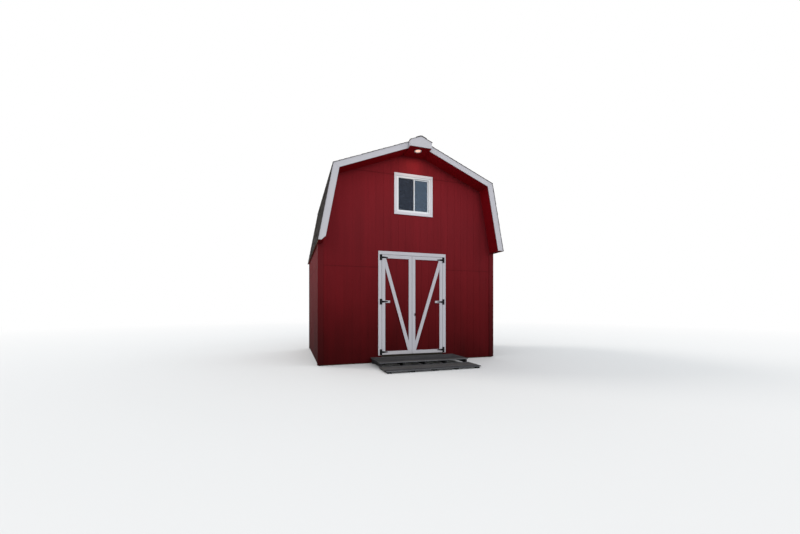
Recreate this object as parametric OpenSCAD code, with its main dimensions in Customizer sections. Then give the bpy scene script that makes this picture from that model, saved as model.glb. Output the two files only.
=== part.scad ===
// Two-storey barn shed with a gambrel roof, double doors, a loft window and a low plank landing.
// The origin is the middle of the floor frame at ground level, +Z up, and the doors face -Y.

/* [Building] */
// Width of the wall framing, left to right
frame_w = 4877; // [4200:1:5400]
// Depth of the wall framing, front to back
frame_d = 3658; // [3050:1:4300]
// Spacing of the wall studs
stud_pitch = 406; // [305:1:610]
// Thickness of framing lumber
lumber_t = 38; // [35:1:45]
// Depth of the studs and of the joists in the floor
stud_d = 89; // [80:1:100]
// Thickness of the loose boards used as trim
trim_t = 19; // [16:1:25]

/* [Floor] */
// Height and width of a skid
skid_size = 89; // [80:1:140]
// Number of skids under the floor
skid_count = 5; // [3:2:7]
// Spacing of the floor joists
joist_pitch = 406; // [305:1:610]
// Thickness of the floor sheets
floor_t = 19; // [15:1:25]

/* [Loft] */
// Depth of the loft joists
loft_joist_d = 235; // [184:1:286]
// Spacing of the roof frames and the loft joists
roof_frame_pitch = 610; // [500:1:760]
// Thickness of the loft floor sheets
loft_floor_t = 18; // [15:1:25]
// Length of the hatch in the loft floor
hatch_l = 914; // [700:1:1100]

/* [Roof] */
// How far the roof stands out of the wall framing at the eave
eave_out = 52; // [45:1:70]
// Height of the eave above the wall plates
eave_lift = 45; // [40:1:60]
// How far the roof comes in from the eave to its break
break_in = 348; // [300:1:420]
// Height of the break above the eave
break_rise = 1818; // [1650:1:1950]
// Height of the ridge above the break
ridge_rise = 877; // [780:1:980]
// Length of the overhang past the front and rear walls
rake_out = 457; // [380:1:520]
// Depth of the rafters
rafter_d = 140; // [120:1:160]
// Thickness of the roof sheets
roof_sheet_t = 12; // [10:1:18]
// Joint left between roof sheets
sheet_gap = 3; // [2:0.5:4]
// Height of shingle that each course shows
shingle_exposure = 143; // [120:1:160]
// Thickness of a shingle course at its lower edge
shingle_butt_t = 10; // [8:0.5:14]
// Thickness of a shingle course at its upper edge
shingle_top_t = 4; // [3:0.5:6]
// Overhang of the shingles past the eave and the rakes
shingle_out = 12; // [8:1:20]

/* [Siding] */
// Thickness of the siding sheets
siding_t = 12; // [10:1:16]
// Length of a siding sheet
siding_sheet_h = 2438; // [2300:1:2500]
// Gap between the ground and the siding
siding_lift = 16; // [10:1:40]
// Spacing of the grooves
groove_pitch = 203.2; // [150:0.1:305]
// Width of a groove
groove_w = 9.5; // [6:0.5:14]
// Depth of a groove
groove_d = 3.5; // [2:0.5:6]
// Width of a corner board
corner_w = 140; // [115:1:150]

/* [Rake trim] */
// Width of the upper rake boards
rake_upper_w = 140; // [125:1:150]
// Width of the lower rake boards
rake_lower_w = 155; // [140:1:165]
// Size of the corner cut off the front left rake board
rake_clip = 80; // [40:1:110]
// Thickness of the soffit sheets
soffit_t = 10; // [8:1:12]

/* [Peak box] */
// Width of the box at the front peak
box_w = 571; // [480:1:700]
// How far the box stands in front of the rake boards
box_out = 147; // [100:1:180]
// Height of the box's underside below the ridge
box_drop = 272; // [255:1:330]
// Distance of the light from the front wall
light_y = 375; // [280:1:450]
// Outer diameter of the light's trim ring
light_d = 190; // [150:1:210]

/* [Doors] */
// Width of the doorway
door_w = 1724; // [1500:1:1830]
// Height of the doorway above the floor
door_h = 2593; // [2300:1:2800]
// Height from the top of the doorway to the top of the wall plates
header_h = 150; // [120:1:300]
// Width of the boards round the doorway and on the doors
door_board_w = 89; // [75:1:100]
// Gap round a door and between the doors
door_gap = 6; // [6:0.5:8]
// Gap under the doors
door_lift = 6; // [6:0.5:12]
// Where the doors meet, measured from the middle of the doorway
door_meet_x = -30; // [-60:1:60]
// Thickness of the frame behind a door's siding
door_back_t = 38; // [25:1:40]
// How far that frame stays back from the edge where the doors meet
door_back_in = 12; // [11:1:25]
// Distance of a brace's end from the corner it runs to
brace_in = 85; // [60:1:110]

/* [Hinges] */
// Diameter of a hinge barrel
barrel_d = 16; // [14:0.5:18]
// Diameter of a hinge pin
pin_d = 7.4; // [6:0.1:8]
// Clearance between a pin and the knuckle that turns on it
pin_gap = 0.3; // [0.2:0.05:0.5]
// Height of a hinge's plate
plate_h = 150; // [120:1:170]
// Width of a hinge's plate
plate_w = 46; // [35:1:60]
// Thickness of a hinge's plate and strap
strap_t = 4; // [3:0.5:5]
// Length of a hinge's strap from its pin
strap_l = 166; // [140:1:200]
// Width of a strap at its pin
strap_root_w = 52; // [40:1:60]
// Width of a strap at its tip
strap_tip_w = 22; // [12:1:30]
// Distance of the outer hinges from the ends of a door
hinge_in = 70; // [60:1:110]
// Height of the middle hinge above the floor
hinge_mid = 1376; // [1100:1:1500]
// Length of the block under a middle strap's tip
block_l = 130; // [110:1:150]
// Width of that block
block_w = 60; // [50:1:89]
// Height of the door handle above the floor
handle_z = 1040; // [900:1:1150]

/* [Window] */
// Width of the window
window_w = 940; // [800:1:1000]
// Height of the window
window_h = 940; // [800:1:1000]
// Height of the window's bottom above the loft floor
window_sill = 744; // [600:1:900]
// Where the middle of the window is, left or right of the wall's middle
window_x = 20; // [-60:1:60]
// Width of the boards round the window
window_trim_w = 73; // [60:1:100]
// How far the sashes meet to the right of the window's middle
window_meet = 16; // [-40:1:60]
// Width of the window frame's members
window_frame_w = 32; // [28:1:45]
// Depth of the window frame
window_frame_d = 70; // [60:1:85]
// Width of the sash members
sash_w = 28; // [24:1:40]
// Depth of a sash
sash_d = 24; // [20:1:30]
// Thickness of the glass
glass_t = 5; // [4:0.5:8]

/* [Landing] */
// Width of the landing
landing_w = 2320; // [2000:1:2500]
// Width of a landing board
plank_w = 140; // [120:1:150]
// Thickness of a landing board
plank_t = 25; // [22:1:38]
// Gap between landing boards
plank_gap = 8; // [4:1:12]
// Number of boards in the landing
landing_planks = 6; // [5:1:7]
// Number of boards in the step
step_planks = 4; // [3:1:5]

/* [Hidden] */
$fn = 48;
// How far a cutting shape runs past what it cuts, the joint between boards that butt, and the gap
// between layers that lie on a slope
bite = 1;
joint = 1;
seat = 0.3;

// Heights
floor_frame_z = skid_size;
deck_z = floor_frame_z + stud_d;
floor_z = deck_z + floor_t;
plate_z = floor_z + door_h + header_h;
eave_z = plate_z + eave_lift;
break_z = eave_z + break_rise;
ridge_z = break_z + ridge_rise;
loft_deck_z = plate_z + loft_joist_d;
loft_z = loft_deck_z + loft_floor_t;
soffit_z = ridge_z - box_drop;

// Plan
half_w = frame_w / 2;
half_d = frame_d / 2;
wall_x = half_w + siding_t;
wall_y = half_d + siding_t;
face_y = wall_y + trim_t;
eave_x = half_w + eave_out;
break_x = eave_x - break_in;
rake_y = wall_y + rake_out;
rake_back_y = rake_y - trim_t;
box_y = rake_y + box_out;
half_box = box_w / 2;

// Roof slopes: the lower one is measured from upright, the upper one from level
lower_a = atan2(break_in, break_rise);
upper_a = atan2(ridge_rise, break_x);
lower_len = norm([break_in, break_rise]);
upper_len = norm([break_x, ridge_rise]);
lower_up = [-sin(lower_a), cos(lower_a)];
lower_out = [cos(lower_a), sin(lower_a)];
upper_up = [-cos(upper_a), sin(upper_a)];
upper_out = [sin(upper_a), cos(upper_a)];
soffit_out_d = rake_upper_w - 10;
loft_half_w = lower_x(roof_sheet_t + rafter_d, loft_z) - joint;
frame_ys = spaced(-half_d + lumber_t / 2, half_d - lumber_t / 2, roof_frame_pitch);
hatch_i = floor((len(frame_ys) - 1) / 2);
hatch_in = 150;
gusset_t = 12;
gusset_in = 5;
gusset_reach = 300;
ridge_board_d = 184;
ridge_board_z = upper_z(roof_sheet_t + seat, lumber_t / 2) - ridge_board_d;
cap_t = 6;
cap_x = 140;

// Light in the peak box
can_d = 150;
can_h = 110;
ring_t = 4;
lens_in = 8;

// Doorway and doors
half_door = door_w / 2;
door_top = floor_z + door_h;
leaf_z = floor_z + door_lift;
leaf_h = door_h - door_lift - door_gap;
hinge_x = half_door - door_gap / 2;
hinge_y = -face_y - barrel_d / 2;
hinge_zs = [leaf_z + hinge_in, floor_z + hinge_mid, leaf_z + leaf_h - hinge_in];
handle_plate_w = 26;
handle_plate_h = 64;
handle_bar_d = 12;
handle_out = 32;

// Window
window_z = loft_z + window_sill;
window_top = window_z + window_h;
window_y = -wall_y - 6;
sash_in = 12;
sash_gap = 0.5;
meet_x = window_x + window_meet;
// The fixed sash on the left is in the front track, and the sliding one behind it
sash_edges = [
    [window_x - window_w / 2 + window_frame_w + sash_gap, meet_x],
    [meet_x, window_x + window_w / 2 - window_frame_w - sash_gap]
];
sash_ys = [window_y + sash_in, window_y + sash_in + sash_d + sash_gap];

// Landing
landing_y = -wall_y - plank_gap;
landing_front = landing_y - landing_planks * (plank_w + plank_gap) + plank_gap;
step_back = landing_front - plank_gap;
step_front = step_back - step_planks * (plank_w + plank_gap) + plank_gap;
landing_pitch = 560;
sleeper_t = lumber_t;
step_z = sleeper_t + plank_t;
landing_z = sleeper_t + stud_d + plank_t;

// Points of the roof's outline, at a depth d inside the face of the roof sheets

function lower_x(d, z) = eave_x - (z - eave_z) * tan(lower_a) - d / cos(lower_a);
function upper_z(d, x) = ridge_z - x * tan(upper_a) - d / cos(upper_a);
function bend_x(low_d, up_d) =
    (eave_x - (ridge_z - up_d / cos(upper_a) - eave_z) * tan(lower_a) - low_d / cos(lower_a))
    / (1 - tan(lower_a) * tan(upper_a));
function bend_at(low_d, up_d) = [bend_x(low_d, up_d), upper_z(up_d, bend_x(low_d, up_d))];
function bend(d) = bend_at(d, d);
function lower_pt(d, z) = [lower_x(d, z), z];
function upper_pt(d, x) = [x, upper_z(d, x)];
function mirrored(points) = [for (p = points) [-p[0], p[1]]];
function reversed(points) = [for (i = [len(points) - 1 : -1 : 0]) points[i]];

// Layers that follow the slopes, drawn in the plane of the gable

module lower_band(d0, d1, z0, gap) {
    polygon([
        lower_pt(d0, z0), bend(d0) - gap * lower_up,
        bend(d1) - gap * lower_up, lower_pt(d1, z0)
    ]);
}

module upper_band(d0, d1, x0, gap) {
    polygon([
        bend(d0) + gap * upper_up, upper_pt(d0, x0),
        upper_pt(d1, x0), bend(d1) + gap * upper_up
    ]);
}

module gable_face(d, z0) {
    side = [lower_pt(d, z0), bend(d)];
    polygon(concat(side, [upper_pt(d, 0)], reversed(mirrored(side))));
}

// Stands a shape drawn in the plane of the gable upright, from y0 to y1
module upright(y0, y1) {
    translate([0, y1, 0]) rotate([90, 0, 0]) linear_extrude(y1 - y0) children();
}

module both_sides() {
    children();
    mirror([1, 0, 0]) children();
}

module block(low, high) {
    translate(low) cube(high - low);
}

// Places spaced evenly from a to b, no further apart than the pitch
function spaced(a, b, pitch) =
    let (n = ceil((b - a) / pitch - 0.01)) [for (i = [0 : n]) a + (b - a) * i / n];

// How far the loft joist beside a roof frame lies from it
function beside(y) = y > half_d - lumber_t ? -lumber_t : lumber_t;

// Floor

module floor_skids() {
    step = (frame_d - skid_size) / (skid_count - 1);
    color("#6b5a45") for (i = [0 : skid_count - 1])
        block([-half_w, -half_d + i * step, 0], [half_w, -half_d + i * step + skid_size, skid_size]);
}

module floor_joists() {
    color("#b08d5b") {
        for (y = [-half_d, half_d - lumber_t])
            block([-half_w, y, floor_frame_z], [half_w, y + lumber_t, deck_z]);
        for (x = spaced(-half_w, half_w - lumber_t, joist_pitch))
            block([x, -half_d + lumber_t / 2, floor_frame_z],
                [x + lumber_t, half_d - lumber_t / 2, deck_z]);
    }
}

module floor_deck() {
    color("#b79a6b") block([-half_w, -half_d, deck_z], [half_w, half_d, floor_z]);
}

// Siding

module grooved_strip(x0, x1) {
    first = ceil((x0 + groove_w) / groove_pitch);
    last = floor((x1 - groove_w) / groove_pitch);
    difference() {
        translate([x0, 0]) square([x1 - x0, siding_t]);
        for (i = [first : 1 : last])
            translate([i * groove_pitch - groove_w / 2, -bite]) square([groove_w, groove_d + bite]);
    }
}

// A sheet on the front wall, with a groove where two courses of sheets meet
module front_sheet(x0, x1, z0, z1) {
    translate([0, -wall_y, 0]) difference() {
        translate([0, 0, z0]) linear_extrude(z1 - z0) grooved_strip(x0, x1);
        for (i = [1, 2])
            block([x0 - bite, -bite, siding_lift + i * siding_sheet_h],
                [x1 + bite, groove_d, siding_lift + i * siding_sheet_h + groove_w]);
    }
}

module under_roof() {
    intersection() {
        children();
        upright(-wall_y - bite, wall_y + bite)
            intersection() {
                gable_face(roof_sheet_t + seat, 0);
                translate([-half_w, 0]) square([frame_w, ridge_z]);
            }
    }
}

module front_siding_sides() {
    color("#7c1e22") {
        under_roof() front_sheet(-half_w, -half_door, siding_lift, ridge_z);
        under_roof() front_sheet(half_door, half_w, siding_lift, ridge_z);
    }
}

module front_siding_over_door() {
    color("#7c1e22") front_sheet(-half_door, half_door, door_top, window_z);
}

module front_siding_beside_window() {
    color("#7c1e22") {
        front_sheet(-half_door, window_x - window_w / 2, window_z, window_top);
        front_sheet(window_x + window_w / 2, half_door, window_z, window_top);
    }
}

module front_siding_peak() {
    color("#7c1e22") under_roof() front_sheet(-half_door, half_door, window_top, ridge_z);
}

module rear_siding() {
    color("#7c1e22") rotate([0, 0, 180]) under_roof()
        front_sheet(-half_w, half_w, siding_lift, ridge_z);
}

module side_sheet() {
    translate([wall_x, 0, siding_lift]) rotate([0, 0, 90])
        linear_extrude(eave_z - siding_lift) grooved_strip(-wall_y, wall_y);
}

module side_siding() {
    color("#7c1e22") both_sides() difference() {
        side_sheet();
        block([wall_x - groove_d, -wall_y - bite, siding_lift + siding_sheet_h],
            [wall_x + bite, wall_y + bite, siding_lift + siding_sheet_h + groove_w]);
    }
}

module corner_boards() {
    outer = wall_x + trim_t;
    color("#7c1e22") both_sides() for (back = [0, 1]) mirror([0, back, 0]) {
        block([outer - corner_w, wall_y, siding_lift], [outer, face_y, eave_z]);
        block([wall_x, face_y - corner_w, siding_lift], [outer, wall_y + bite, eave_z]);
    }
}

// Wall frames

// Studs and plates of a wall that runs along X from x0 to x1
module stud_wall(x0, x1, z0, z1) {
    block([x0, 0, z0], [x1, stud_d, z0 + lumber_t]);
    block([x0, 0, z1 - 2 * lumber_t], [x1, stud_d, z1]);
    for (x = spaced(x0, x1 - lumber_t, stud_pitch))
        block([x, 0, z0 + lumber_t / 2], [x + lumber_t, stud_d, z1 - lumber_t]);
}

module front_wall_frame() {
    color("#c2a06c") both_sides() translate([0, -half_d, 0])
        stud_wall(half_door, half_w - stud_d, floor_z, plate_z);
}

module door_header() {
    color("#c2a06c") block([-half_door, -half_d, door_top], [half_door, -half_d + stud_d, plate_z]);
}

module rear_wall_frame() {
    color("#c2a06c") translate([0, half_d - stud_d, 0])
        stud_wall(-half_w + stud_d, half_w - stud_d, floor_z, plate_z);
}

module side_wall_frames() {
    color("#c2a06c") both_sides() translate([half_w, 0, 0]) rotate([0, 0, 90])
        stud_wall(-half_d, half_d, floor_z, plate_z);
}

// Studs of part of a gable, under its end rafters and the ridge board, on a plate at z0
module gable_part(x0, x1, z0, z1) {
    intersection() {
        upright(-half_d, -half_d + stud_d) difference() {
            gable_face(roof_sheet_t + rafter_d + seat, loft_z);
            translate([-lumber_t / 2 - seat, ridge_board_z - seat])
                square([lumber_t + 2 * seat, ridge_board_d]);
        }
        union() {
            block([x0, -half_d, z0], [x1, -half_d + stud_d, z0 + lumber_t]);
            for (x = spaced(x0, x1 - lumber_t, stud_pitch))
                block([x, -half_d, z0 + lumber_t / 2], [x + lumber_t, -half_d + stud_d, z1]);
        }
    }
}

module gable_frames() {
    left = window_x - window_w / 2;
    right = window_x + window_w / 2;
    color("#c2a06c") {
        gable_part(-loft_half_w, left - joint, loft_z, ridge_z);
        gable_part(right + joint, loft_half_w, loft_z, ridge_z);
        gable_part(left, right, loft_z, window_z);
        block([left, -half_d, window_z - lumber_t], [right, -half_d + stud_d, window_z]);
        gable_part(left, right, window_top, ridge_z);
        rotate([0, 0, 180]) gable_part(-loft_half_w, loft_half_w, loft_z, ridge_z);
    }
}

// Loft

module loft_joists() {
    color("#b08d5b") for (y = frame_ys)
        block([-half_w, y + beside(y) - lumber_t / 2, plate_z],
            [half_w, y + beside(y) + lumber_t / 2, loft_deck_z]);
}

// The hatch lies between two joists at the right-hand side
module loft_floor() {
    hatch_y = frame_ys[hatch_i] + lumber_t * 1.5;
    hatch_end = frame_ys[hatch_i + 1] + lumber_t / 2;
    color("#b79a6b") difference() {
        block([-loft_half_w, -half_d, loft_deck_z], [loft_half_w, half_d, loft_z]);
        block([loft_half_w - hatch_in - hatch_l, hatch_y, loft_deck_z - bite],
            [loft_half_w - hatch_in, hatch_end, loft_z + bite]);
    }
}

// Roof frames

module at_frames() {
    for (y = frame_ys) upright(y - lumber_t / 2, y + lumber_t / 2) children();
}

module lower_rafters() {
    color("#c2a06c") both_sides() at_frames() difference() {
        lower_band(roof_sheet_t + seat, roof_sheet_t + rafter_d, plate_z, joint / 2);
        translate([half_w, plate_z - bite])
            square([eave_out, eave_lift + soffit_t + bite]);
    }
}

module upper_rafters() {
    color("#c2a06c") both_sides() at_frames()
        upper_band(roof_sheet_t + seat, roof_sheet_t + rafter_d, lumber_t / 2, joint / 2);
}

// Plates that tie a lower rafter to an upper one, on the inner face of each frame
module rafter_gussets() {
    top = roof_sheet_t + gusset_in;
    bottom = roof_sheet_t + rafter_d - gusset_in;
    color("#a98a5c") both_sides() for (y = frame_ys)
        translate([0, y + sign(beside(y)) * (lumber_t + gusset_t) / 2, 0])
            upright(-gusset_t / 2, gusset_t / 2) polygon([
                bend(top) - gusset_reach * lower_up, bend(top),
                bend(top) + gusset_reach * upper_up, bend(bottom) + gusset_reach * upper_up,
                bend(bottom), bend(bottom) - gusset_reach * lower_up
            ]);
}

module ridge_board() {
    color("#b08d5b") block([-lumber_t / 2, -half_d, ridge_board_z],
        [lumber_t / 2, half_d, ridge_board_z + ridge_board_d]);
}

// Roof covering

module roof_sheets() {
    color("#a98a5c") both_sides() {
        upright(-rake_back_y, rake_back_y) lower_band(0, roof_sheet_t, eave_z, sheet_gap / 2);
        upright(-rake_back_y, rake_back_y) upper_band(0, roof_sheet_t, sheet_gap / 2, sheet_gap / 2);
        upright(trim_t - box_y, -rake_back_y - joint) polygon([
            upper_pt(0, sheet_gap / 2), upper_pt(0, half_box),
            upper_pt(roof_sheet_t, half_box), upper_pt(roof_sheet_t, sheet_gap / 2)
        ]);
    }
}

// Outline of a slope's courses of shingles, from s0 to s1 along it
function courses(base, up, out, s0, s1) =
    let (n = round((s1 - s0) / shingle_exposure), e = (s1 - s0) / n)
    concat(
        [for (i = [0 : n - 1]) each [
            base + (s0 + i * e) * up + shingle_butt_t * out,
            base + (s0 + (i + 1) * e) * up + shingle_top_t * out
        ]],
        [base + s1 * up, base + s0 * up]
    );

module lower_courses() {
    polygon(courses(lower_pt(0, eave_z) + seat * lower_out, lower_up, lower_out,
        -shingle_out, lower_len - shingle_butt_t / 2));
}

module upper_courses() {
    polygon(courses(bend(0) + seat * upper_out, upper_up, upper_out,
        -shingle_out, upper_len - joint));
}

module shingles() {
    y = rake_y + shingle_out;
    color("#3a3a3c") both_sides() {
        upright(-y, y) lower_courses();
        upright(-y, y) upper_courses();
        intersection() {
            upright(-box_y - shingle_out, -y - joint) upper_courses();
            block([0, -box_y - rake_out, 0], [half_box + shingle_out, 0, ridge_z + rake_out]);
        }
    }
}

module ridge_cap() {
    low = -shingle_butt_t - joint / 2;
    high = low - cap_t;
    side = [upper_pt(high, cap_x), upper_pt(low, cap_x)];
    color("#3a3a3c") upright(-box_y - shingle_out, rake_y + shingle_out) polygon(concat(
        [[0, upper_z(high, 0)]], side, [[0, upper_z(low, 0)]], reversed(mirrored(side))
    ));
}

// Overhangs

// Soffit sheets of one overhang, with the upper pair ending at x0 from the middle
module overhang_soffit(x0) {
    d = soffit_out_d - soffit_t;
    both_sides() {
        upright(-rake_back_y, -wall_y) {
            lower_band(d, soffit_out_d, eave_z, joint / 2);
            upper_band(d, soffit_out_d, x0, joint / 2);
        }
        block([lower_x(d, eave_z) + joint, -rake_back_y, eave_z],
            [lower_x(roof_sheet_t + seat, eave_z + soffit_t), -wall_y - joint, eave_z + soffit_t]);
    }
}

module box_soffit() {
    difference() {
        block([-half_box, trim_t - box_y, soffit_z], [half_box, -wall_y, soffit_z + soffit_t]);
        translate([0, -wall_y - light_y, soffit_z - bite])
            cylinder(d = can_d + 2 * joint, h = soffit_t + 2 * bite);
    }
}

// Sides of the peak box from y0 to y1, with their lower edges at z0
module box_sides(y0, y1, z0) {
    both_sides() upright(y0, y1) polygon([
        [half_box - trim_t, z0], [half_box, z0],
        upper_pt(roof_sheet_t + seat, half_box), upper_pt(roof_sheet_t + seat, half_box - trim_t)
    ]);
}

module soffits() {
    color("#7c1e22") {
        overhang_soffit(half_box + seat);
        rotate([0, 0, 180]) overhang_soffit(joint / 2);
        box_soffit();
        box_sides(joint - rake_back_y, -wall_y, soffit_z + soffit_t + seat);
        both_sides() block([half_w, -wall_y, eave_z],
            [lower_x(roof_sheet_t + seat, eave_z + soffit_t), wall_y, eave_z + soffit_t]);
    }
}

// Rake boards of one side, with the upper board ending at x0 from the middle
module rake_pair(x0, clip) {
    inner = bend_at(rake_lower_w, rake_upper_w);
    foot = lower_pt(rake_lower_w, eave_z);
    difference() {
        polygon([lower_pt(0, eave_z), bend(0) - joint / 2 * lower_up,
            inner - joint / 2 * lower_up, foot]);
        polygon([foot - [bite, bite], foot + [clip, -bite], foot + [clip, 0],
            foot + [0, clip], foot + [-bite - clip, clip]]);
    }
    polygon([bend(0) + joint / 2 * upper_up, upper_pt(0, x0),
        upper_pt(rake_upper_w, x0), inner + joint / 2 * upper_up]);
}

module front_rake_boards() {
    color("#d9dbdc") upright(-rake_y, -rake_back_y) {
        rake_pair(half_box, 0);
        mirror([1, 0]) rake_pair(half_box, rake_clip);
    }
}

module rear_rake_boards() {
    color("#d9dbdc") both_sides() upright(rake_back_y, rake_y) rake_pair(joint / 2, 0);
}

module peak_box() {
    color("#d9dbdc") {
        upright(-box_y, trim_t - box_y) polygon([
            [-half_box, soffit_z], [half_box, soffit_z], upper_pt(0, half_box),
            [0, ridge_z], mirrored([upper_pt(0, half_box)])[0]
        ]);
        box_sides(trim_t - box_y - bite, -rake_back_y, soffit_z + soffit_t);
    }
}

module peak_light() {
    color("#f4ead2") translate([0, -wall_y - light_y, soffit_z]) rotate_extrude() polygon([
        [0, lens_in], [can_d / 2 - lens_in, lens_in], [can_d / 2, -ring_t], [light_d / 2, -ring_t],
        [light_d / 2, 0], [can_d / 2, 0], [can_d / 2, can_h], [0, can_h]
    ]);
}

// Doorway

module door_casing() {
    foot = floor_z - door_lift;
    color("#d9dbdc") {
        both_sides() block([half_door, -face_y, foot],
            [half_door + door_board_w, -wall_y, door_top - joint]);
        block([-half_door - door_board_w, -face_y, door_top],
            [half_door + door_board_w, -wall_y, door_top + door_board_w]);
    }
}

module door_sill() {
    color("#3a332d") block([-half_door, -wall_y, siding_lift], [half_door, -half_d, floor_z]);
}

// Doors: u runs from the hinged edge, v up from the bottom edge

function leaf_w(side) = half_door - 1.5 * door_gap - side * door_meet_x;

module on_leaf(side) {
    translate([side * (half_door - door_gap), 0, leaf_z])
        mirror([side > 0 ? 1 : 0, 0, 0]) children();
}

module board_ring(w) {
    difference() {
        square([w, leaf_h]);
        translate([door_board_w, door_board_w])
            square([w - 2 * door_board_w, leaf_h - 2 * door_board_w]);
    }
}

// A brace from the top corner beside the hinges to the bottom corner where the doors meet
module brace(w) {
    top = [door_board_w, leaf_h - door_board_w - brace_in];
    foot = [w - door_board_w, door_board_w + brace_in];
    run = foot - top;
    along = run / norm(run) * 2 * door_board_w;
    across = [-along[1], along[0]] / 4;
    intersection() {
        translate([door_board_w - bite, door_board_w - bite])
            square([w - 2 * door_board_w + 2 * bite, leaf_h - 2 * door_board_w + 2 * bite]);
        polygon([
            top - along - across, foot + along - across,
            foot + along + across, top - along + across
        ]);
    }
}

module door_boards(side) {
    color("#d9dbdc") on_leaf(side) upright(-face_y, -wall_y) {
        board_ring(leaf_w(side));
        brace(leaf_w(side));
        translate([door_board_w - bite, hinge_mid - door_lift - block_w / 2])
            square([block_l + bite, block_w]);
    }
}

module door_panel(side) {
    color("#7c1e22") on_leaf(side) translate([0, -wall_y, 0])
        linear_extrude(leaf_h) grooved_strip(0, leaf_w(side));
}

module door_frame(side) {
    w = leaf_w(side) - door_back_in;
    color("#c2a06c") on_leaf(side) upright(-half_d, -half_d + door_back_t) {
        board_ring(w);
        translate([door_board_w - bite, hinge_mid - door_lift - door_board_w / 2])
            square([w - 2 * door_board_w + 2 * bite, door_board_w]);
    }
}

// Hinges: the plate and pin stay on the casing, and the strap turns with the door

module at_hinges(side) {
    for (z = hinge_zs) translate([side * hinge_x, hinge_y, z])
        mirror([side > 0 ? 1 : 0, 0, 0]) children();
}

module hinge_plate() {
    half_k = strap_root_w / 2 + joint / 2;
    for (s = [0, 1]) mirror([0, 0, s]) {
        translate([0, 0, half_k]) cylinder(d = barrel_d, h = plate_h / 2 - half_k);
        block([-barrel_d / 2 - joint - bite, barrel_d / 2 - strap_t, half_k],
            [0, barrel_d / 2, plate_h / 2]);
    }
    block([-barrel_d / 2 - joint - plate_w, barrel_d / 2 - strap_t, -plate_h / 2],
        [-barrel_d / 2 - joint, barrel_d / 2, plate_h / 2]);
    translate([0, 0, -half_k - bite]) cylinder(d = pin_d, h = 2 * (half_k + bite));
}

module hinge_strap() {
    half_k = strap_root_w / 2;
    difference() {
        union() {
            translate([0, 0, -half_k]) cylinder(d = barrel_d, h = strap_root_w);
            upright(barrel_d / 2 - strap_t, barrel_d / 2) {
                polygon([[0, -half_k], [barrel_d, -half_k], [strap_l - strap_tip_w / 2, -strap_tip_w / 2],
                    [strap_l - strap_tip_w / 2, strap_tip_w / 2], [barrel_d, half_k], [0, half_k]]);
                translate([strap_l - strap_tip_w / 2, 0]) circle(d = strap_tip_w);
            }
        }
        translate([0, 0, -plate_h / 2]) cylinder(d = pin_d + 2 * pin_gap, h = plate_h);
    }
}

module hinge_plates() {
    color("#1b1b1c") for (side = [-1, 1]) at_hinges(side) hinge_plate();
}

module door_handle() {
    x = door_meet_x + door_gap / 2 + door_board_w - handle_plate_w / 2;
    translate([x, -face_y, floor_z + handle_z]) {
        block([-handle_plate_w / 2, -strap_t, -handle_plate_h / 2],
            [handle_plate_w / 2, 0, handle_plate_h / 2]);
        rotate([90, 0, 0]) cylinder(d = handle_bar_d * 1.5, h = handle_out);
        translate([0, -handle_out, -handle_plate_h / 2])
            cylinder(d = handle_bar_d, h = handle_plate_h);
    }
}

// Landing

// The sleepers of the step run back under the landing's front board and end before its joists
module landing_frame() {
    x1 = landing_w / 2 - lumber_t;
    color("#6d6257") {
        for (y = [landing_y - stud_d, landing_front + lumber_t])
            block([-x1, y, 0], [x1, y + stud_d, sleeper_t]);
        for (x = spaced(-x1, x1 - lumber_t, landing_pitch))
            block([x, landing_front + lumber_t / 2, sleeper_t - bite],
                [x + lumber_t, -wall_y, sleeper_t + stud_d]);
        for (x = spaced(-x1, x1 - stud_d, landing_pitch))
            block([x, step_front + lumber_t / 2, 0],
                [x + stud_d, landing_front + lumber_t / 2 - seat, sleeper_t]);
    }
}

module planks(count, back, z) {
    for (i = [0 : count - 1])
        block([-landing_w / 2, back - i * (plank_w + plank_gap) - plank_w, z],
            [landing_w / 2, back - i * (plank_w + plank_gap), z + plank_t]);
}

module landing_boards() {
    color("#8b8178") {
        planks(landing_planks, landing_y, landing_z - plank_t);
        planks(step_planks, step_back, step_z - plank_t);
    }
}

module left_door_panel() { door_panel(-1); }
module left_door_boards() { door_boards(-1); }
module left_door_frame() { door_frame(-1); }
module left_door_hardware() { color("#1b1b1c") at_hinges(-1) hinge_strap(); }

module right_door_panel() { door_panel(1); }
module right_door_boards() { door_boards(1); }
module right_door_frame() { door_frame(1); }
module right_door_hardware() {
    color("#1b1b1c") {
        at_hinges(1) hinge_strap();
        door_handle();
    }
}

// Window

// Boards or members round an opening, as four pieces that butt
module board_round(x0, x1, z0, z1, w, gap) {
    for (z = [z0 - w, z1]) translate([x0 - w, z]) square([x1 - x0 + 2 * w, w]);
    for (x = [x0 - w, x1]) translate([x, z0 + gap]) square([w, z1 - z0 - 2 * gap]);
}

module window_trim() {
    color("#d9dbdc") upright(-face_y, -wall_y)
        board_round(window_x - window_w / 2, window_x + window_w / 2,
            window_z, window_top, window_trim_w, joint);
}

module window_ring(x0, x1, z0, z1, w) {
    difference() {
        translate([x0, z0]) square([x1 - x0, z1 - z0]);
        translate([x0 + w, z0 + w]) square([x1 - x0 - 2 * w, z1 - z0 - 2 * w]);
    }
}

module window_frame() {
    color("#e3e5e6") {
        upright(window_y, window_y + window_frame_d)
            window_ring(window_x - window_w / 2, window_x + window_w / 2,
                window_z, window_top, window_frame_w);
        for (i = [0, 1]) upright(sash_ys[i], sash_ys[i] + sash_d)
            window_ring(sash_edges[i][0], sash_edges[i][1],
                window_z + window_frame_w + sash_gap, window_top - window_frame_w - sash_gap, sash_w);
    }
}

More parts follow.
